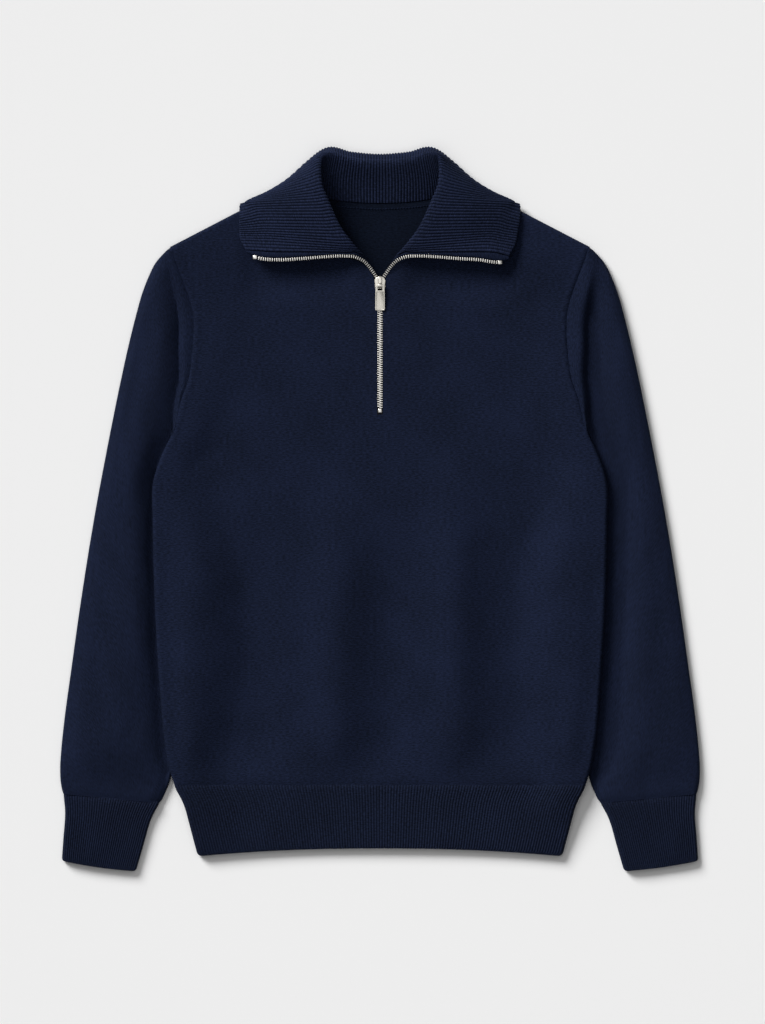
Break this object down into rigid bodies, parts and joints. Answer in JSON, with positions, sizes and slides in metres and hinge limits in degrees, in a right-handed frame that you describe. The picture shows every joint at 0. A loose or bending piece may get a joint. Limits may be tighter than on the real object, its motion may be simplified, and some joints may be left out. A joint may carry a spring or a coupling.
{
  "type": "quarter zip sweater",
  "caption": "Long-sleeved knitted sweater laid flat, with a half-open front zip, a ribbed collar turned down, and ribbed cuffs and hem.",
  "frame": {"origin": "middle of the laid garment's bounding box, on the surface it lies on", "axes": "+X towards the wearer's left, +Y up the garment to the collar, +Z out of the front"},
  "size_m": [0.6778, 0.7682, 0.0371],
  "materials": {
    "navy_knit": "matt fine-gauge knit",
    "navy_rib_knit": "matt rib knit",
    "navy_zip_tape": "matt woven tape",
    "satin_nickel": "satin nickel"
  },
  "bodies": {
    "garment": {"front_panel": "navy_knit", "back_panel": "navy_knit", "sleeve_left": "navy_knit", "sleeve_right": "navy_knit", "cuff_left": "navy_rib_knit", "cuff_right": "navy_rib_knit", "hem_band": "navy_rib_knit", "collar": "navy_rib_knit", "collar_edge_left": "navy_rib_knit", "collar_edge_right": "navy_rib_knit", "zip_tape_left": "navy_zip_tape", "zip_tape_right": "navy_zip_tape", "zip_chain": "satin_nickel", "zip_teeth_left": "satin_nickel", "zip_teeth_right": "satin_nickel", "zip_top_stop_left": "satin_nickel", "zip_top_stop_right": "satin_nickel", "zip_bottom_stop": "satin_nickel", "zip_slider": "satin_nickel"},
    "pull": {"zip_pull": "satin_nickel"}
  },
  "joints": [
    {"name": "pull_hinge", "type": "hinge", "parent": "garment", "child": "pull", "pos_m": [0, 0.2371, 0.0152], "axis": [-1, 0, 0], "range_deg": [0, 150]}
  ]
}
